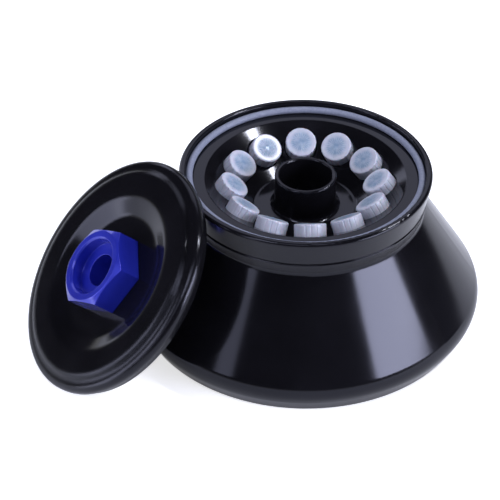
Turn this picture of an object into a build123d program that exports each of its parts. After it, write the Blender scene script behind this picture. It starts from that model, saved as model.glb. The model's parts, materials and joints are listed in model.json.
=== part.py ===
"""Fixed angle rotor for twelve screw-cap microtubes, with its lid taken off and leaned against it.

The rotor spins about +Z and stands on the foot at z = 0, with the origin on its axis. The lid stands
with its lower edge on the same surface, and its nose ring hooks over the rotor's rim. Sizes in mm.
"""

import os
from math import asin, cos, degrees, hypot, radians, sin, tan

from build123d import *

os.makedirs("parts", exist_ok=True)

# ---- Driving dimensions: rotor body ----
rotor_height = 72.0
rim_radius = 54.0
rim_lip_width = 3.0
rim_rounding = 1.2
rim_inner_rounding = 0.6
collar_height = 17.3          # from the rim down to where the cone starts
collar_taper = 3.0            # how much narrower the collar is at its foot
collar_foot_rounding = 2.0
collar_groove_depth = 11.6    # from the rim down to the fine groove round the collar
collar_groove_size = 0.8
shoulder_radius = 78.5        # sharp corner of the cone, before it is rounded
shoulder_height = 11.4
shoulder_rounding = 8.4
foot_radius = 72.2
foot_rounding = 2.5
foot_ring_width = 8.0
foot_inner_rounding = 1.0

# ---- Driving dimensions: bowl and hub ----
ledge_drop = 4.2              # from the rim down to the ledge that carries the seal
floor_drop = 19.0             # from the rim down to the bowl's floor
floor_rounding = 2.5
hub_drop = 3.2                # from the rim down to the hub's top
hub_wall = 2.0
thread_radius = 11.2          # bore in the hub that the lid's knob screws into
thread_depth = 23.0
hub_rounding = 0.6
screw_well_radius = 9.8
web_top = 36.0                # web of metal that the tie-down screw clamps
web_thickness = 6.0

# ---- Driving dimensions: underside ----
boss_radius = 24.0
boss_lift = 3.0               # the boss stands this far above the foot's plane
relief_height = 20.0
relief_draft = 3.0            # how much narrower the hollow's outer wall is at its roof
relief_rounding = 5.0
bush_radius = 14.0
drive_radius = 8.0            # bore for the motor's spindle
drive_length = 20.0
tip_chamber_radius = 6.4
bush_chamfer = 0.6
drive_pin_count = 2
drive_pin_radius = 2.0
drive_pin_circle = 19.0
drive_pin_depth = 9.0
drive_pin_proud = 2.4
drive_pin_chamfer = 0.4

# ---- Driving dimensions: tubes and caps, measured along a tube from its cap's top ----
tube_count = 12
tube_angle = 35.0             # from the rotor's axis
first_tube_azimuth = 2.3
cap_top_circle = 29.9
cap_top_drop = 7.0            # from the rim down to the cap's top centre
cap_radius = 6.72
cap_height = 9.0
cap_above_seat = 5.2          # the part of the cap that stands out of its counterbore
cap_deck = 1.3
cap_edge_rounding = 0.7
cap_flute_count = 18
cap_flute_radius = 0.5
cap_flute_depth = 0.22
cap_plain_band = 1.6          # smooth band under the flutes
tube_length = 45.0
tube_radius = 5.4
tube_wall = 0.9
tube_taper_length = 12.0
tube_tip_radius = 2.4

# ---- Driving dimensions: lid, seal and knob ----
lid_setback = 2.0             # lid's edge inside the rim's
lid_flange_thickness = 4.6
lid_edge_rounding = 2.2
lid_underside_rounding = 1.0
lid_height = 6.2
lid_land_width = 5.4          # flange that shows round the shoulder
lid_shoulder_rounding = 1.1
lid_step_rounding = 0.4
dish_rim_radius = 34.8
dish_floor_radius = 26.9
dish_floor_height = 2.6
dish_rounding = 1.5
nose_depth = 2.4              # ring under the lid that presses on the rim seal
nose_width = 1.8
lid_contact_setback = 6.0     # from the lid's edge in to about where the rim touches it
lid_azimuth = 202.3
seal_section_radius = 1.5
seal_bed_depth = 0.5          # shallow groove in the ledge that keeps the seal in place
knob_across_flats = 32.0
knob_height = 11.8
knob_turn = 3.0               # turn of the knob's corners from the lid's downhill line
knob_crown = 0.6              # from the middle of a side in to the crown on the corners
knob_crown_angle = 30.0
knob_cup_radius = 12.2
knob_cup_depth = 5.6
knob_cup_chamfer = 0.7
knob_key_radius = 7.0         # through hole for the key of the tie-down screw
knob_spigot_length = 14.0     # from the lid's flange plane down
knob_ring_thickness = 1.0
knob_ring_overhang = 1.6
knob_ring_bite = 0.7
knob_seal_section_radius = 0.6

# ---- Driving dimensions: tie-down screw ----
screw_head_radius = 9.2
screw_head_height = 7.0
screw_shank_radius = 4.0
screw_tip_height = 21.5       # z of the screw's tip
screw_chamfer = 0.5
socket_across_flats = 8.0
socket_depth = 4.5
washer_radius = 9.2
washer_thickness = 1.4
screw_ring_thickness = 1.0
screw_ring_overhang = 1.6
screw_ring_bite = 0.5

# ---- Fits ----
thread_clearance = 0.08       # between the knob's spigot and the hub's bore
running_clearance = 0.05      # pieces that turn in or on one another
seat_gap = 0.05               # pieces that rest face to face
press_clearance = 0.01
pocket_clearance = 0.2        # tube in its pocket, on the radius
counterbore_clearance = 0.4   # cap in its counterbore, on the radius
cap_floor_gap = 0.3           # under the cap, so that the tube carries itself
nose_clearance = 0.5          # lid's nose ring inside the rim
ring_axial_gap = 0.1          # retaining rings against what they hold
lean_gap = 0.1                # lid from the rim that it leans on

cut_over = 1.0                # how far a cutting shape passes the face that it opens

# ---- Values that follow ----
rim_inner_radius = rim_radius - rim_lip_width
lid_radius = rim_radius - lid_setback
lid_shoulder_radius = lid_radius - lid_land_width
ledge_height = rotor_height - ledge_drop
hub_top = rotor_height - hub_drop
bowl_floor = rotor_height - floor_drop
cap_top_height = rotor_height - cap_top_drop
hub_radius = thread_radius + hub_wall
web_bottom = web_top - web_thickness
counterbore_radius = cap_radius + counterbore_clearance
counterbore_depth = cap_height + cap_floor_gap
pocket_radius = tube_radius + pocket_clearance


def turned(corners):
    """Revolve an outline of (radius, height, rounding) corners about the Z axis."""
    points = [(radius, height) for radius, height, _ in corners]
    roundings = [rounding for _, _, rounding in corners]
    outline = FilletPolyline(*points, radius=roundings, close=True)
    return revolve(Plane.XZ * make_face(outline), axis=Axis.Z)


def on_circle(count, radius, first=0.0):
    """Locations spaced evenly on a circle about the Z axis, each with +X pointing outward."""
    return [
        Rotation(0, 0, first + 360.0 / count * index) * Location((radius, 0, 0))
        for index in range(count)
    ]


def ring(inner_radius, outer_radius, low, high):
    """A flat ring about the Z axis."""
    return turned(
        [(inner_radius, low, 0), (outer_radius, low, 0), (outer_radius, high, 0), (inner_radius, high, 0)]
    )


def split_ring(inner_radius, outer_radius, low, high):
    """A retaining ring: a flat ring with a gap."""
    width = outer_radius - inner_radius
    body = ring(inner_radius, outer_radius, low, high)
    gap = Pos(outer_radius, 0, (low + high) / 2) * Box(4 * width, 1.5 * width, 2 * (high - low))
    return body - gap


def hexagon_bar(across_flats, low, high):
    """A hexagonal bar about the Z axis, with a corner on +X."""
    return Pos(0, 0, low) * extrude(RegularPolygon(across_flats / 2, 6, major_radius=False), high - low)


def seal_ring(centre_radius, section_radius, height):
    """A round-section seal lying flat about the Z axis."""
    return Pos(0, 0, height) * Torus(centre_radius, section_radius)


def reach(edges, tilt):
    """How far rounded edges (radius, height, rounding) of a turned shape reach along a tilted line."""
    return max(
        radius * sin(radians(tilt)) + height * cos(radians(tilt)) + rounding
        for radius, height, rounding in edges
    )


# ---- Where the tubes lie ----
slope = tan(radians(tube_angle))


def tube_place(index):
    """Frame of one tube: origin at the cap's top centre, +Z out of the cap along the tube."""
    azimuth = first_tube_azimuth + 360.0 / tube_count * index
    top_centre = Pos(cap_top_circle, 0, cap_top_height)
    return Rotation(0, 0, azimuth) * top_centre * Rotation(0, -tube_angle, 0)


def seat_height(radius):
    """Height of the bowl's conical seat, which lies square to the tubes, at a given radius."""
    seat_radius = cap_top_circle + cap_above_seat * sin(radians(tube_angle))
    seat_centre = cap_top_height - cap_above_seat * cos(radians(tube_angle))
    return seat_centre + (radius - seat_radius) * slope


def seat_radius_at(height):
    """Radius of the conical seat at a given height."""
    return cap_top_circle + (height - seat_height(cap_top_circle)) / slope


# ---- Rotor body ----
def rotor_blank():
    """The body as it is turned, before its pockets are bored."""
    cone_top = rotor_height - collar_height
    groove = rotor_height - collar_groove_depth
    collar_foot = rim_radius - collar_taper
    groove_radius = rim_radius - collar_taper * collar_groove_depth / collar_height
    seal_bed = ledge_height - seal_bed_depth
    seal_inner = rim_inner_radius - 2 * seal_section_radius - seat_gap
    relief_outer = foot_radius - foot_ring_width
    return turned(
        [
            (boss_radius, boss_lift, foot_inner_rounding),
            (bush_radius + press_clearance, boss_lift, 0),
            (bush_radius + press_clearance, web_bottom, 0),
            (screw_shank_radius + running_clearance, web_bottom, 0),
            (screw_shank_radius + running_clearance, web_top, 0),
            (screw_well_radius, web_top, 0),
            (screw_well_radius, hub_top - thread_depth, 0),
            (thread_radius, hub_top - thread_depth, 0),
            (thread_radius, hub_top, hub_rounding),
            (hub_radius, hub_top, hub_rounding),
            (hub_radius, bowl_floor, floor_rounding),
            (seat_radius_at(bowl_floor), bowl_floor, floor_rounding),
            (seat_radius_at(ledge_height), ledge_height, 0),
            (seal_inner, ledge_height, 0),
            (seal_inner, seal_bed, 0),
            (rim_inner_radius, seal_bed, 0),
            (rim_inner_radius, rotor_height, rim_inner_rounding),
            (rim_radius, rotor_height, rim_rounding),
            (groove_radius, groove + collar_groove_size / 2, 0),
            (groove_radius - collar_groove_size, groove, 0),
            (groove_radius, groove - collar_groove_size / 2, 0),
            (collar_foot, cone_top, collar_foot_rounding),
            (shoulder_radius, shoulder_height, shoulder_rounding),
            (foot_radius, 0, foot_rounding),
            (relief_outer, 0, foot_inner_rounding),
            (relief_outer - relief_draft, relief_height, relief_rounding),
            (boss_radius, relief_height, relief_rounding),
        ]
    )


def tube_pocket():
    """Counterbore and pocket for one tube, in the tube's own frame."""
    taper_start = tube_length - tube_taper_length
    bore = [
        (0, cut_over, 0),
        (counterbore_radius, cut_over, 0),
        (counterbore_radius, -counterbore_depth, 0),
        (pocket_radius, -counterbore_depth, 0),
        (pocket_radius, -taper_start, 0),
        (tube_tip_radius + pocket_clearance, -tube_length - seat_gap, 0),
        (0, -tube_length - seat_gap, 0),
    ]
    return turned(bore)


def rotor_body():
    """The turned blank with a ring of slanted pockets and the holes for the drive pins."""
    body = rotor_blank()
    pocket = tube_pocket()
    body -= [tube_place(index) * pocket for index in range(tube_count)]
    pin_hole = Pos(0, 0, boss_lift + drive_pin_depth / 2) * Cylinder(
        drive_pin_radius + press_clearance, drive_pin_depth
    )
    body -= [place * pin_hole for place in on_circle(drive_pin_count, drive_pin_circle)]
    return body


# ---- Drive parts under the rotor ----
def drive_bush():
    """Steel bush: spindle bore at the foot, with a chamber for the screw's tip above it."""
    return turned(
        [
            (drive_radius, 0, 0),
            (bush_radius, 0, bush_chamfer),
            (bush_radius, web_bottom - seat_gap, bush_chamfer),
            (tip_chamber_radius, web_bottom - seat_gap, 0),
            (tip_chamber_radius, drive_length, 0),
            (drive_radius, drive_length, 0),
        ]
    )


def drive_pin():
    """Dowel pin that keys the rotor to the spindle's flange."""
    length = drive_pin_depth + drive_pin_proud
    pin = Pos(0, 0, boss_lift - drive_pin_proud + length / 2) * Cylinder(drive_pin_radius, length)
    return chamfer(pin.edges().filter_by(GeomType.CIRCLE), drive_pin_chamfer)


# ---- Tie-down screw ----
screw_seat = web_top + washer_thickness + 2 * seat_gap
ring_top = web_bottom - ring_axial_gap


def tie_down_washer():
    low = web_top + seat_gap
    return ring(screw_shank_radius + running_clearance, washer_radius, low, low + washer_thickness)


def tie_down_screw():
    """Cap screw with a hexagonal socket and a groove for its retaining ring."""
    head_top = screw_seat + screw_head_height
    groove_radius = screw_shank_radius - screw_ring_bite
    groove_low = ring_top - screw_ring_thickness - 2 * seat_gap
    screw = turned(
        [
            (0, screw_tip_height, 0),
            (screw_shank_radius - screw_chamfer, screw_tip_height, 0),
            (screw_shank_radius, screw_tip_height + screw_chamfer, 0),
            (screw_shank_radius, groove_low, 0),
            (groove_radius, groove_low, 0),
            (groove_radius, ring_top, 0),
            (screw_shank_radius, ring_top, 0),
            (screw_shank_radius, screw_seat, 0),
            (screw_head_radius, screw_seat, 0),
            (screw_head_radius, head_top, screw_chamfer),
            (0, head_top, 0),
        ]
    )
    return screw - hexagon_bar(socket_across_flats, head_top - socket_depth, head_top + cut_over)


def tie_down_retaining_ring():
    high = ring_top - seat_gap
    inner = screw_shank_radius - screw_ring_bite + seat_gap
    return split_ring(inner, screw_shank_radius + screw_ring_overhang, high - screw_ring_thickness, high)


# ---- Tubes and caps, in the tube's own frame ----
def tube():
    """Microtube: open neck under the cap, straight wall, then a taper to a rounded tip."""
    neck_top = -cap_deck - seat_gap
    taper_start = -(tube_length - tube_taper_length)
    tip_inner = tube_tip_radius - tube_wall
    return turned(
        [
            (tube_radius - tube_wall, neck_top, 0),
            (tube_radius, neck_top, 0),
            (tube_radius, taper_start, 0),
            (tube_tip_radius, -tube_length, tube_tip_radius / 2),
            (0, -tube_length, 0),
            (0, -tube_length + tube_wall, 0),
            (tip_inner, -tube_length + tube_wall, 0),
            (tube_radius - tube_wall, taper_start, 0),
        ]
    )


def cap():
    """Screw cap: a fluted skirt with a smooth band at its foot and a rounded deck."""
    skirt_inner = tube_radius + running_clearance
    body = turned(
        [
            (0, 0, 0),
            (cap_radius, 0, cap_edge_rounding),
            (cap_radius, -cap_height, 0),
            (skirt_inner, -cap_height, 0),
            (skirt_inner, -cap_deck, 0),
            (0, -cap_deck, 0),
        ]
    )
    flute_length = cap_height - cap_plain_band
    flute = Pos(0, 0, -flute_length / 2) * Cylinder(cap_flute_radius, flute_length)
    circle = cap_radius - cap_flute_depth + cap_flute_radius
    return body - [place * flute for place in on_circle(cap_flute_count, circle)]


# ---- Lid, in its own frame: z = 0 is the flange plane that meets the rim, +Z points out of its top ----
nose_radius = rim_inner_radius - nose_clearance
spigot_radius = thread_radius - thread_clearance
lid_bore_radius = spigot_radius + running_clearance
knob_seat = dish_floor_height + seat_gap
knob_seal_radius = lid_bore_radius + 2 * knob_seal_section_radius


def lid_shell():
    """Turned lid: thin flange, raised land, conical dish round the knob and a nose ring below."""
    groove_half = knob_seal_section_radius + seat_gap
    groove_floor = dish_floor_height - 2 * knob_seal_section_radius
    return turned(
        [
            (lid_bore_radius, 0, 0),
            (nose_radius - nose_width, 0, 0),
            (nose_radius - nose_width, -nose_depth, 0),
            (nose_radius, -nose_depth, 0),
            (nose_radius, 0, 0),
            (lid_radius, 0, lid_underside_rounding),
            (lid_radius, lid_flange_thickness, lid_edge_rounding),
            (lid_shoulder_radius, lid_flange_thickness, lid_step_rounding),
            (lid_shoulder_radius, lid_height, lid_shoulder_rounding),
            (dish_rim_radius, lid_height, dish_rounding),
            (dish_floor_radius, dish_floor_height, dish_rounding),
            (knob_seal_radius + groove_half, dish_floor_height, 0),
            (knob_seal_radius + groove_half, groove_floor, 0),
            (knob_seal_radius - groove_half, groove_floor, 0),
            (knob_seal_radius - groove_half, dish_floor_height, 0),
            (lid_bore_radius, dish_floor_height, 0),
        ]
    )


def knob_seal():
    return seal_ring(knob_seal_radius, knob_seal_section_radius, dish_floor_height - knob_seal_section_radius)


knob_ring_top = -ring_axial_gap


def lid_knob():
    """Hexagonal knob with crowned corners, a deep cup, and a spigot that screws into the hub."""
    top = knob_seat + knob_height
    corner_radius = knob_across_flats / 2 / cos(radians(30))
    crown = knob_crown + corner_radius - knob_across_flats / 2
    head = hexagon_bar(knob_across_flats, knob_seat, top)
    head &= turned(
        [
            (0, knob_seat, 0),
            (corner_radius, knob_seat, 0),
            (corner_radius, top - crown * tan(radians(knob_crown_angle)), 0),
            (corner_radius - crown, top, 0),
            (0, top, 0),
        ]
    )
    groove_radius = spigot_radius - knob_ring_bite
    groove_low = knob_ring_top - knob_ring_thickness - 2 * seat_gap
    spigot = turned(
        [
            (0, -knob_spigot_length, 0),
            (spigot_radius, -knob_spigot_length, knob_cup_chamfer),
            (spigot_radius, groove_low, 0),
            (groove_radius, groove_low, 0),
            (groove_radius, knob_ring_top, 0),
            (spigot_radius, knob_ring_top, 0),
            (spigot_radius, knob_seat, 0),
            (0, knob_seat, 0),
        ]
    )
    cup = turned(
        [
            (0, -knob_spigot_length - cut_over, 0),
            (knob_key_radius, -knob_spigot_length - cut_over, 0),
            (knob_key_radius, top - knob_cup_depth, 0),
            (knob_cup_radius, top - knob_cup_depth, 0),
            (knob_cup_radius, top - knob_cup_chamfer, 0),
            (knob_cup_radius + 2 * knob_cup_chamfer, top + knob_cup_chamfer, 0),
            (0, top + knob_cup_chamfer, 0),
        ]
    )
    return Rotation(0, 0, knob_turn) * (head + spigot - cup)


def knob_retaining_ring():
    high = knob_ring_top - seat_gap
    inner = spigot_radius - knob_ring_bite + seat_gap
    return split_ring(inner, spigot_radius + knob_ring_overhang, high - knob_ring_thickness, high)


# ---- Where the lid leans ----
lid_lean = degrees(asin(rotor_height / (2 * lid_radius - lid_contact_setback)))


def rim_points():
    """Points on the centres of the rim's rounded top, as (x, y, z, rounding), on the lid's side."""
    outer = (rim_radius - rim_rounding, rotor_height - rim_rounding, rim_rounding)
    inner = (rim_inner_radius + rim_inner_rounding, rotor_height - rim_inner_rounding, rim_inner_rounding)
    sections = [
        [(1 - share) * a + share * b for a, b in zip(outer, inner)] for share in (0, 0.25, 0.5, 0.75, 1)
    ]
    return [
        (radius * cos(radians(turn / 2)), radius * sin(radians(turn / 2)), height, rounding)
        for radius, height, rounding in sections
        for turn in range(150)
    ]


def rim_gap(points, out, height):
    """Smallest gap from the rim to a leaning lid whose underside's centre is at (out, height)."""
    lean_sin = sin(radians(lid_lean))
    lean_cos = cos(radians(lid_lean))
    gaps = []
    for x, y, z, rounding in points:
        along = (x - out) * lean_cos - (z - height) * lean_sin
        below = -(x - out) * lean_sin - (z - height) * lean_cos
        radius = hypot(along, y)
        beside = max(nose_radius - nose_width - radius, radius - nose_radius, 0)
        gaps.append(hypot(beside, max(below - nose_depth, 0)) - rounding)
        if radius < lid_radius:
            gaps.append(below - rounding)
    return min(gaps)


def lid_place():
    """The lid's frame: lowest edge on z = 0, nose ring hooked over the rim, +X pointing downhill."""
    lid_edges = [
        (nose_radius, -nose_depth, 0),
        (lid_radius - lid_underside_rounding, lid_underside_rounding, lid_underside_rounding),
    ]
    height = reach(lid_edges, 180.0 - lid_lean)
    points = rim_points()
    near = 0.0
    far = rim_radius + lid_radius
    while far - near > 0.001:
        middle = (near + far) / 2
        if rim_gap(points, middle, height) < lean_gap:
            near = middle
        else:
            far = middle
    return Rotation(0, 0, lid_azimuth) * Pos(far, 0, height) * Rotation(0, lid_lean, 0)


def nodes():
    """Every piece under its own name, in place."""
    yield "rotor_body", rotor_body()
    yield "rim_seal", seal_ring(
        rim_inner_radius - seal_section_radius - seat_gap / 2,
        seal_section_radius,
        ledge_height - seal_bed_depth + seal_section_radius + seat_gap,
    )
    yield "drive_bush", drive_bush()
    for index, place in enumerate(on_circle(drive_pin_count, drive_pin_circle), start=1):
        yield f"drive_pin_{index}", place * drive_pin()
    yield "tie_down_washer", tie_down_washer()
    yield "tie_down_screw", tie_down_screw()
    yield "tie_down_retaining_ring", tie_down_retaining_ring()
    one_tube = tube()
    one_cap = cap()
    for index in range(tube_count):
        yield f"tube_{index + 1:02d}", tube_place(index) * one_tube
        yield f"cap_{index + 1:02d}", tube_place(index) * one_cap
    lid_frame = lid_place()
    yield "lid_shell", lid_frame * lid_shell()
    yield "knob_seal", lid_frame * knob_seal()
    yield "lid_knob", lid_frame * lid_knob()
    yield "knob_retaining_ring", lid_frame * knob_retaining_ring()


for name, piece in nodes():
    export_step(piece, f"parts/{name}.step")
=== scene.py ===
"""Looks of the fixed angle rotor: finishes, light, floor and camera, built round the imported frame.

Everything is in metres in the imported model's frame: +Z up the rotor's spin axis, foot at z = 0.
"""

import json
from math import cos, pi, radians, sin

import bpy
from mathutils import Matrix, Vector


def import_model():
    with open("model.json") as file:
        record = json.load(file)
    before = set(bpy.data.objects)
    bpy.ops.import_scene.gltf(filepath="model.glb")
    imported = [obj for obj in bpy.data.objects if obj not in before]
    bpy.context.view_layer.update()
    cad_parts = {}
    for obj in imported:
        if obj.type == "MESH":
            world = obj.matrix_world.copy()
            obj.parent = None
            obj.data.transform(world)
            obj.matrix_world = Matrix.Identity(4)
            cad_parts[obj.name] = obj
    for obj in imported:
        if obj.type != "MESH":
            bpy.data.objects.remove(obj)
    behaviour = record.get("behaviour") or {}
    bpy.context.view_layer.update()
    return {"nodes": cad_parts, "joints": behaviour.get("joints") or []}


MM = 0.001

# ---- Camera: solved from the rim, hub and outline circles, in the 500-pixel frame ----
FRAME_PIXELS = 500
SENSOR_WIDTH = 36.0
CAMERA_FOCAL_PIXELS = 1825.7
CAMERA_ELEVATION = 37.76
CAMERA_DISTANCE = 800 * MM
CAMERA_TARGET = Vector((-23.6, 0.0, 28.1)) * MM
CAMERA_CLIP_START = 10 * MM
CAMERA_CLIP_END = 50.0

# ---- Light: linear colours, 1 is white ----
WHITE = (1.0, 1.0, 1.0, 1.0)
FLOOR_GLOW_SEEN = 0.7
FLOOR_GLOW_MIRRORED = 0.2
STUDIO_DIM = (0.035, 0.034, 0.045, 1.0)
STUDIO_SOFT = (0.3, 0.31, 0.36, 1.0)
HORIZON_TOP = 0.09
LAMP_BLUE = (0.78, 0.8, 1.0)
LAMP_PALE = (0.94, 0.95, 1.0)
LAMP_AIM = Vector((0, 0, 35)) * MM

# ---- Floor and flag, in metres ----
FLOOR_SIZE = 12.0
FLOOR_DROP = 0.02 * MM
FLAG_PLACE = Vector((0.42, 0.1, 0.14))
FLAG_SIZE = 0.28
FLAG_TURN = 104

# ---- Finishes: linear colours at two positions of a noise, and lengths in metres ----
BLACK_STOPS = ((0.3, (0.0032, 0.0031, 0.004)), (0.7, (0.0052, 0.005, 0.0065)))
BLUE_STOPS = ((0.3, (0.013, 0.02, 0.34)), (0.7, (0.022, 0.034, 0.48)))
SEAL_STOPS = ((0.3, (0.16, 0.178, 0.24)), (0.7, (0.22, 0.238, 0.31)))
STEEL_STOPS = ((0.3, (0.46, 0.46, 0.48)), (0.7, (0.58, 0.58, 0.6)))
TUBE_STOPS = ((0.3, (0.72, 0.75, 0.8)), (0.7, (0.8, 0.83, 0.87)))
CAP_SKIRT_STOPS = ((0.3, (0.4, 0.42, 0.49)), (0.7, (0.5, 0.51, 0.58)))
CAP_TOP_STOPS = ((0.35, (0.14, 0.225, 0.32)), (0.65, (0.27, 0.34, 0.44)))
ROTOR_SOFT_EDGE = 0.8 * MM
LID_SOFT_EDGE = 3.4 * MM
KNOB_SOFT_EDGE = 0.5 * MM
SOFT_EDGE_SAMPLES = 8
ANODISED_RING_FREQUENCY = 2600
ANODISED_RING_DEPTH = 0.004 * MM
STEEL_RING_FREQUENCY = 3000
STEEL_RING_DEPTH = 0.006 * MM
SKIN_DEPTH = 0.01 * MM
BLACK_ROUGHNESS = (0.1, 0.17)
BLUE_ROUGHNESS = (0.2, 0.3)
SEAL_ROUGHNESS = (0.42, 0.6)
STEEL_ROUGHNESS = (0.22, 0.38)
TUBE_ROUGHNESS = (0.25, 0.35)
CAP_ROUGHNESS = (0.24, 0.34)
FLOOR_ROUGHNESS = (0.65, 0.75)
FLAG_ROUGHNESS = (0.8, 0.95)
CAP_TOP_RIBS = 24
CAP_RIB_DEPTH = 0.06 * MM
CAP_RIB_CONTRAST = 0.45
CAP_RIB_FLANK = (0.1, 0.9)
CAP_DISC_RADIUS = 5.6 * MM
CAP_DISC_FADE_RADIUS = 0.55 * CAP_DISC_RADIUS
CAP_RIB_START_RADIUS = 0.6 * MM
CAP_RIB_FULL_RADIUS = 1.6 * MM
CAP_TOP_FADE_LOW = -0.5 * MM
CAP_TOP_FADE_HIGH = -0.2 * MM

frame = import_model()
nodes = frame["nodes"]
joints = {joint["name"]: joint for joint in frame["joints"]}
knob_joint = joints["knob_turn"]
knob_place = {"origin": knob_joint["pos_m"], "axis": knob_joint["axis"]}
bpy.context.scene.view_settings.view_transform = "Standard"


# ---- Node helpers ----
class Material:
    """A material under construction, with short calls for the nodes used here."""

    def __init__(self, name, **settings):
        self.material = bpy.data.materials.new(name)
        self.material.use_nodes = True
        self.tree = self.material.node_tree
        self.shader = self.tree.nodes["Principled BSDF"]
        for socket, value in settings.items():
            self.shader.inputs[socket.replace("_", " ")].default_value = value

    def node(self, kind, **settings):
        made = self.tree.nodes.new(kind)
        for key, value in settings.items():
            if hasattr(made, key):
                setattr(made, key, value)
            else:
                made.inputs[key.replace("_", " ")].default_value = value
        return made

    def link(self, source, target):
        self.tree.links.new(source, target)

    def coordinates(self, origin=None, axis=None):
        """Object coordinates, moved so that the given axis through the origin becomes Z."""
        position = self.node("ShaderNodeTexCoord").outputs["Object"]
        if axis is None:
            return position
        turn = Vector(axis).normalized().rotation_difference(Vector((0, 0, 1)))
        mapping = self.node("ShaderNodeMapping", vector_type="POINT")
        mapping.inputs["Rotation"].default_value = turn.to_euler()
        mapping.inputs["Location"].default_value = -(turn @ Vector(origin))
        self.link(position, mapping.inputs["Vector"])
        return mapping.outputs["Vector"]

    def noise(self, vector, scale, detail):
        """Noise factor, 0 to 1."""
        made = self.node("ShaderNodeTexNoise", Scale=scale, Detail=detail)
        self.link(vector, made.inputs["Vector"])
        return made.outputs["Fac"]

    def cylinder_coordinates(self, vector):
        """(radius, height, 0) of a point about the local Z axis."""
        parts = self.node("ShaderNodeSeparateXYZ")
        self.link(vector, parts.inputs[0])
        flat = self.node("ShaderNodeCombineXYZ")
        self.link(parts.outputs["X"], flat.inputs["X"])
        self.link(parts.outputs["Y"], flat.inputs["Y"])
        length = self.node("ShaderNodeVectorMath", operation="LENGTH")
        self.link(flat.outputs[0], length.inputs[0])
        joined = self.node("ShaderNodeCombineXYZ")
        self.link(length.outputs["Value"], joined.inputs["X"])
        self.link(parts.outputs["Z"], joined.inputs["Y"])
        return joined.outputs[0]

    def tool_rings(self, vector, frequency):
        """Noise in rings about the local Z axis, as a lathe leaves them."""
        scaled = self.node("ShaderNodeVectorMath", operation="MULTIPLY")
        scaled.inputs[1].default_value = (frequency, frequency, 0)
        self.link(self.cylinder_coordinates(vector), scaled.inputs[0])
        return self.noise(scaled.outputs[0], scale=1.0, detail=2.0)

    def spread(self, factor, low, high):
        """Map a 0 to 1 factor onto a range."""
        made = self.node("ShaderNodeMapRange")
        made.inputs["To Min"].default_value = low
        made.inputs["To Max"].default_value = high
        self.link(factor, made.inputs["Value"])
        return made.outputs["Result"]

    def maths(self, operation, *values):
        """A Math node over numbers or outputs."""
        made = self.node("ShaderNodeMath", operation=operation)
        for socket, value in zip(made.inputs, values):
            if isinstance(value, (int, float)):
                socket.default_value = value
            else:
                self.link(value, socket)
        return made.outputs[0]

    def soft_step(self, value, start, end):
        """0 at start, 1 at end, with smooth shoulders."""
        made = self.node("ShaderNodeMapRange", interpolation_type="SMOOTHSTEP")
        made.inputs["From Min"].default_value = start
        made.inputs["From Max"].default_value = end
        self.link(value, made.inputs["Value"])
        return made.outputs["Result"]

    def blend(self, factor, low, high):
        """Mix two colours."""
        made = self.node("ShaderNodeMix", data_type="RGBA")
        for socket, value in (("Factor", factor), ("A", low), ("B", high)):
            if isinstance(value, (int, float)):
                made.inputs[socket].default_value = value
            else:
                self.link(value, made.inputs[socket])
        return made.outputs["Result"]

    def colours(self, factor, *stops):
        """Colour ramp between two (position, colour) stops."""
        made = self.node("ShaderNodeValToRGB")
        for element, (position, colour) in zip(made.color_ramp.elements, stops):
            element.position = position
            element.color = (*colour, 1.0)
        self.link(factor, made.inputs["Fac"])
        return made.outputs["Color"]

    def bump(self, height, distance, strength=1.0, soft_edge=0.0):
        """Raise the surface by a height. soft_edge rounds sharp edges in the shading."""
        made = self.node("ShaderNodeBump", Strength=strength, Distance=distance)
        self.link(height, made.inputs["Height"])
        if soft_edge:
            rounded = self.node("ShaderNodeBevel", samples=SOFT_EDGE_SAMPLES, Radius=soft_edge)
            self.link(rounded.outputs["Normal"], made.inputs["Normal"])
        self.link(made.outputs["Normal"], self.shader.inputs["Normal"])

    def set(self, socket, value):
        self.link(value, self.shader.inputs[socket])


def paint(material, *names):
    """Give a finished material to CAD nodes, in every slot."""
    for name in names:
        slots = nodes[name].data.materials
        slots.clear()
        slots.append(material)


# ---- Finishes ----
def turned_anodised(name, colours, soft_edge, roughness, origin=None, axis=None, **settings):
    """Dyed anodising on a turned surface: faint tool rings and slightly uneven gloss."""
    made = Material(name, **settings)
    place = made.coordinates(origin, axis)
    rings = made.tool_rings(place, ANODISED_RING_FREQUENCY)
    clouds = made.noise(place, scale=45.0, detail=4.0)
    made.set("Base Color", made.colours(clouds, *colours))
    made.set("Roughness", made.spread(clouds, *roughness))
    made.bump(rings, ANODISED_RING_DEPTH, strength=0.35, soft_edge=soft_edge)
    return made.material


def black_finish(name, soft_edge, **place):
    return turned_anodised(
        name,
        BLACK_STOPS,
        soft_edge,
        roughness=BLACK_ROUGHNESS,
        Specular_IOR_Level=0.3,
        Specular_Tint=(0.86, 0.88, 1.0, 1.0),
        **place,
    )


def blue_finish():
    return turned_anodised(
        "blue_anodised",
        BLUE_STOPS,
        KNOB_SOFT_EDGE,
        roughness=BLUE_ROUGHNESS,
        **knob_place,
        Metallic=0.3,
        Coat_Weight=0.5,
        Coat_Roughness=0.08,
    )


def seal_finish():
    """Matt silicone with a fine bloom."""
    made = Material("seal_rubber", IOR=1.45)
    place = made.coordinates()
    bloom = made.noise(place, scale=900.0, detail=4.0)
    made.set("Base Color", made.colours(bloom, *SEAL_STOPS))
    made.set("Roughness", made.spread(bloom, *SEAL_ROUGHNESS))
    made.bump(bloom, SKIN_DEPTH, strength=0.4)
    return made.material


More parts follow.
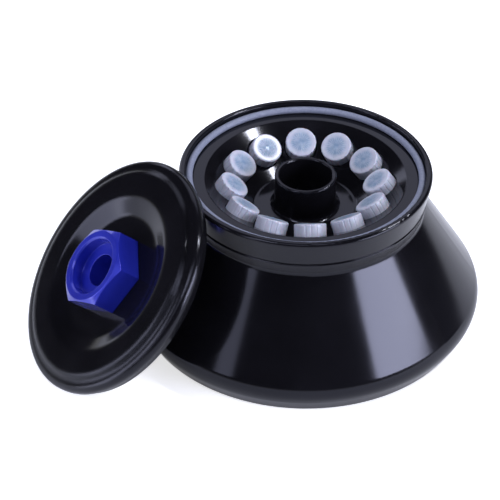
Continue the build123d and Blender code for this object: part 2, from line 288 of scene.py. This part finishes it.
def tube_finish():
    """Moulded polypropylene: milky, with a faint flow pattern and an orange-peel skin."""
    made = Material("tube_plastic")
    place = made.coordinates()
    flow = made.noise(place, scale=160.0, detail=3.0)
    skin = made.noise(place, scale=2200.0, detail=2.0)
    made.set("Base Color", made.colours(flow, *TUBE_STOPS))
    made.set("Roughness", made.spread(flow, *TUBE_ROUGHNESS))
    made.bump(skin, SKIN_DEPTH, strength=0.3)
    return made.material


def cap_finish(name, joint):
    """Milky polypropylene: whitish skirt and edge, and a bluish top with fine radial ribs."""
    made = Material(name + "_plastic", Subsurface_Weight=0.15, Subsurface_Scale=1.5 * MM)
    place = made.coordinates(joint["pos_m"], joint["axis"])
    parts = made.node("ShaderNodeSeparateXYZ")
    made.link(place, parts.inputs[0])
    turn = made.maths("ARCTAN2", parts.outputs["Y"], parts.outputs["X"])
    wave = made.maths("SINE", made.maths("MULTIPLY", turn, CAP_TOP_RIBS))
    profile = made.node("ShaderNodeSeparateXYZ")
    made.link(made.cylinder_coordinates(place), profile.inputs[0])
    radius, height = profile.outputs["X"], profile.outputs["Y"]
    disc = made.soft_step(radius, CAP_DISC_RADIUS, CAP_DISC_FADE_RADIUS)
    ribbed = made.soft_step(radius, CAP_RIB_START_RADIUS, CAP_RIB_FULL_RADIUS)
    top = made.soft_step(height, CAP_TOP_FADE_LOW, CAP_TOP_FADE_HIGH)
    middle = made.maths("MULTIPLY", disc, top)
    ribs = made.maths("MULTIPLY", made.maths("MULTIPLY", wave, ribbed), middle)
    flow = made.noise(place, scale=420.0, detail=4.0)
    skirt = made.colours(flow, *CAP_SKIRT_STOPS)
    sunk = made.colours(flow, *CAP_TOP_STOPS)
    ribbed_top = made.blend(made.soft_step(ribs, *CAP_RIB_FLANK), sunk, skirt)
    faint_top = made.blend(CAP_RIB_CONTRAST, sunk, ribbed_top)
    made.set("Base Color", made.blend(middle, skirt, faint_top))
    made.set("Roughness", made.spread(flow, *CAP_ROUGHNESS))
    made.bump(ribs, CAP_RIB_DEPTH, strength=0.7)
    return made.material


def steel_finish():
    """Turned stainless steel, with fine rings about the rotor's axis."""
    made = Material("turned_steel", Metallic=1.0)
    place = made.coordinates()
    rings = made.tool_rings(place, STEEL_RING_FREQUENCY)
    clouds = made.noise(place, scale=120.0, detail=3.0)
    made.set("Base Color", made.colours(clouds, *STEEL_STOPS))
    made.set("Roughness", made.spread(rings, *STEEL_ROUGHNESS))
    made.bump(rings, STEEL_RING_DEPTH, strength=0.5)
    return made.material


def numbered(stem):
    """Names of the CAD nodes that share a stem, such as cap_."""
    return [name for name in nodes if name.startswith(stem)]


paint(black_finish("black_anodised_rotor", ROTOR_SOFT_EDGE), "rotor_body")
paint(black_finish("black_anodised_lid", LID_SOFT_EDGE, **knob_place), "lid_shell")
paint(blue_finish(), "lid_knob")
paint(seal_finish(), "rim_seal", "knob_seal")
paint(tube_finish(), *numbered("tube_"))
for name in numbered("cap_"):
    paint(cap_finish(name, joints[name + "_unscrew"]), name)
paint(
    steel_finish(),
    "drive_bush",
    "tie_down_screw",
    "tie_down_washer",
    "tie_down_retaining_ring",
    "knob_retaining_ring",
    *numbered("drive_pin_"),
)


# ---- Floor, world and lamps ----
def glow(tree, seen, mirrored):
    """How much white is added for rays from the camera or a clear piece, and for glossy ones."""
    path = tree.nodes.new("ShaderNodeLightPath")
    total = None
    for ray, strength in (
        ("Is Camera Ray", seen),
        ("Is Transmission Ray", seen),
        ("Is Glossy Ray", mirrored),
    ):
        made = tree.nodes.new("ShaderNodeMath")
        made.operation = "MULTIPLY"
        tree.links.new(path.outputs[ray], made.inputs[0])
        made.inputs[1].default_value = strength
        if total is not None:
            either = tree.nodes.new("ShaderNodeMath")
            either.operation = "MAXIMUM"
            tree.links.new(total, either.inputs[0])
            tree.links.new(made.outputs[0], either.inputs[1])
            made = either
        total = made.outputs[0]
    return total


def floor():
    """A plain pale floor, white where it is seen and away from the object's soft shadow."""
    bpy.ops.mesh.primitive_plane_add(size=FLOOR_SIZE, location=(0, 0, -FLOOR_DROP))
    plane = bpy.context.object
    plane.name = "floor"
    made = Material("floor_pale", Base_Color=(0.8, 0.81, 0.84, 1.0), Emission_Color=WHITE)
    grain = made.noise(made.coordinates(), scale=30.0, detail=2.0)
    made.set("Roughness", made.spread(grain, *FLOOR_ROUGHNESS))
    made.set("Emission Strength", glow(made.tree, FLOOR_GLOW_SEEN, FLOOR_GLOW_MIRRORED))
    plane.data.materials.append(made.material)


def world():
    """White to the camera and through clear pieces; a dim studio with a pale horizon to gloss."""
    made = bpy.data.worlds.new("studio")
    bpy.context.scene.world = made
    made.use_nodes = True
    tree = made.node_tree
    background = tree.nodes["Background"]
    path = tree.nodes.new("ShaderNodeLightPath")
    direction = tree.nodes.new("ShaderNodeTexCoord")
    parts = tree.nodes.new("ShaderNodeSeparateXYZ")
    tree.links.new(direction.outputs["Generated"], parts.inputs[0])
    ramp = tree.nodes.new("ShaderNodeValToRGB")
    horizon, above = ramp.color_ramp.elements
    horizon.position, horizon.color = 0.0, WHITE
    above.position, above.color = HORIZON_TOP, STUDIO_DIM
    tree.links.new(parts.outputs["Z"], ramp.inputs["Fac"])
    ambient = tree.nodes.new("ShaderNodeMix")
    ambient.data_type = "RGBA"
    ambient.inputs["A"].default_value = STUDIO_SOFT
    tree.links.new(path.outputs["Is Glossy Ray"], ambient.inputs["Factor"])
    tree.links.new(ramp.outputs["Color"], ambient.inputs["B"])
    clear = tree.nodes.new("ShaderNodeMath")
    clear.operation = "MAXIMUM"
    tree.links.new(path.outputs["Is Camera Ray"], clear.inputs[0])
    tree.links.new(path.outputs["Is Transmission Ray"], clear.inputs[1])
    shown = tree.nodes.new("ShaderNodeMix")
    shown.data_type = "RGBA"
    tree.links.new(clear.outputs[0], shown.inputs["Factor"])
    tree.links.new(ambient.outputs["Result"], shown.inputs["A"])
    shown.inputs["B"].default_value = WHITE
    tree.links.new(shown.outputs["Result"], background.inputs["Color"])


def softbox(name, azimuth, elevation, distance, width, height, radiance, colour=LAMP_BLUE):
    """A rectangular lamp that faces the object. Azimuth is from -Y towards +X.

    Lengths are in metres. A mirror shows a lamp of radiance 1 as white.
    """
    lamp = bpy.data.lights.new(name, "AREA")
    lamp.shape = "RECTANGLE"
    lamp.size = width
    lamp.size_y = height
    lamp.color = colour
    lamp.energy = radiance * pi * width * height
    holder = bpy.data.objects.new(name, lamp)
    bpy.context.scene.collection.objects.link(holder)
    turn, rise = radians(azimuth), radians(elevation)
    away = Vector((sin(turn) * cos(rise), -cos(turn) * cos(rise), sin(rise)))
    holder.location = LAMP_AIM + away * distance
    holder.rotation_euler = (-away).to_track_quat("-Z", "Y").to_euler()


def flag():
    """A dark card to the right that keeps the pale floor out of the cone's reflections."""
    bpy.ops.mesh.primitive_plane_add(size=1.0, location=FLAG_PLACE)
    card = bpy.context.object
    card.name = "flag"
    card.scale = (FLAG_SIZE, FLAG_SIZE, 1.0)
    card.rotation_euler = (pi / 2, 0, radians(FLAG_TURN))
    card.visible_camera = False
    made = Material("flag_black", Base_Color=(0.01, 0.01, 0.012, 1.0))
    weave = made.noise(made.coordinates(), scale=60.0, detail=2.0)
    made.set("Roughness", made.spread(weave, *FLAG_ROUGHNESS))
    card.data.materials.append(made.material)


def camera():
    """The camera of the solved view: level, with its target in the middle of the frame."""
    rise = radians(CAMERA_ELEVATION)
    away = Vector((0, -cos(rise), sin(rise)))
    data = bpy.data.cameras.new("camera")
    data.sensor_width = SENSOR_WIDTH
    data.lens = SENSOR_WIDTH * CAMERA_FOCAL_PIXELS / FRAME_PIXELS
    data.clip_start = CAMERA_CLIP_START
    data.clip_end = CAMERA_CLIP_END
    holder = bpy.data.objects.new("camera", data)
    bpy.context.scene.collection.objects.link(holder)
    holder.location = CAMERA_TARGET + away * CAMERA_DISTANCE
    holder.rotation_euler = (-away).to_track_quat("-Z", "Y").to_euler()
    bpy.context.scene.camera = holder


floor()
world()
softbox(  # the broad strip on the cone
    "strip_right",
    azimuth=61, elevation=17.5, distance=1.2,
    width=0.78, height=0.36, radiance=15.5,
)
softbox(  # the narrow strip on the cone
    "strip_left",
    azimuth=-48, elevation=30, distance=1.2,
    width=0.22, height=0.95, radiance=2.6,
)
softbox(  # the band in the lid's dish, and the knob's face
    "wall_left",
    azimuth=-84, elevation=13, distance=1.2,
    width=0.62, height=0.66, radiance=4.2,
)
softbox(  # the lid's upper edge
    "back_left",
    azimuth=-152, elevation=22, distance=1.3,
    width=0.42, height=0.3, radiance=2.2,
)
softbox(  # the ledge, the hub's rim and the bowl's floor
    "back",
    azimuth=180, elevation=46, distance=1.4,
    width=1.3, height=0.7, radiance=1.2,
)
softbox(  # soft fill from above, for the caps and the rounded edges
    "overhead",
    azimuth=-6, elevation=64, distance=1.4,
    width=0.5, height=0.5, radiance=2.2,
)
softbox(  # the right side of the lid's shoulder, and the caps
    "high_left",
    azimuth=-45, elevation=57, distance=1.2,
    width=0.3, height=0.3, radiance=8.0,
)
softbox(  # the hard glints in the bowl, and the shadows
    "key",
    azimuth=93, elevation=58.5, distance=1.4,
    width=0.14, height=0.14, radiance=125.0,
    colour=LAMP_PALE,
)
flag()
camera()
